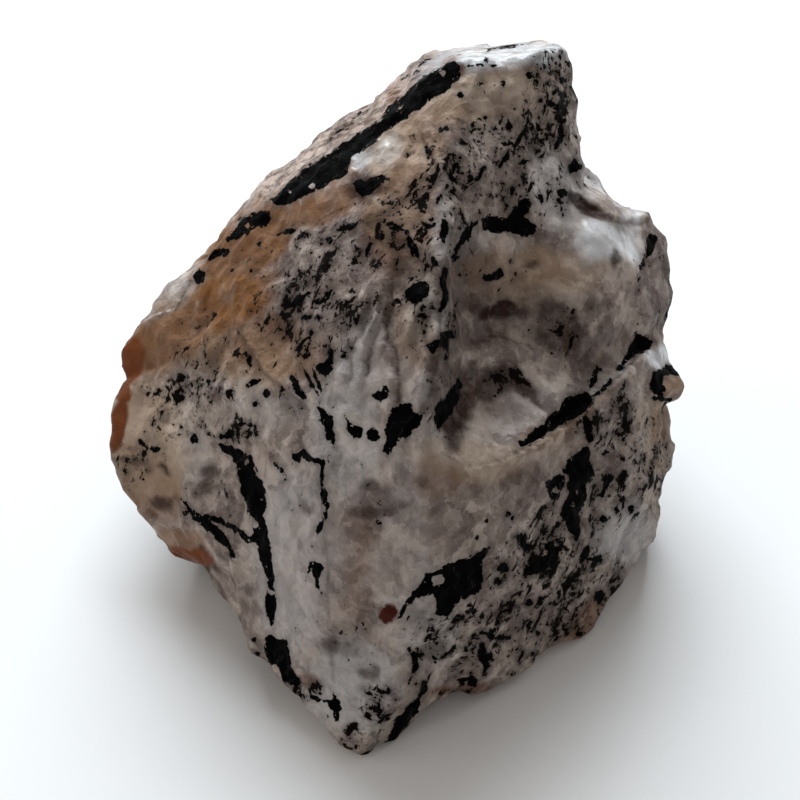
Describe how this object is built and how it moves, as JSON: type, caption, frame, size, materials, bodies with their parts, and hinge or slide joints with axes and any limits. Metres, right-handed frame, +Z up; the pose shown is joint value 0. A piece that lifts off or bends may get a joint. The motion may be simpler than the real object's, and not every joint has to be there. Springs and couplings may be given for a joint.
{
  "type": "rough rock",
  "caption": "Hand-sized piece of rough broken pegmatite, pale with black prisms and specks, standing on a flat broken face.",
  "frame": {"origin": "middle of the flat broken face that the rock rests on", "axes": "+X to the right as the rock's hollowed front is looked at, +Y from the front spine to the back, +Z up"},
  "size_m": [0.0741, 0.077, 0.0623],
  "materials": {
    "stone": "rough broken feldspar and quartz, pale grey, with black mineral prisms and specks and an ochre iron stain"
  },
  "bodies": {
    "root": {"rock": "stone"}
  },
  "joints": []
}
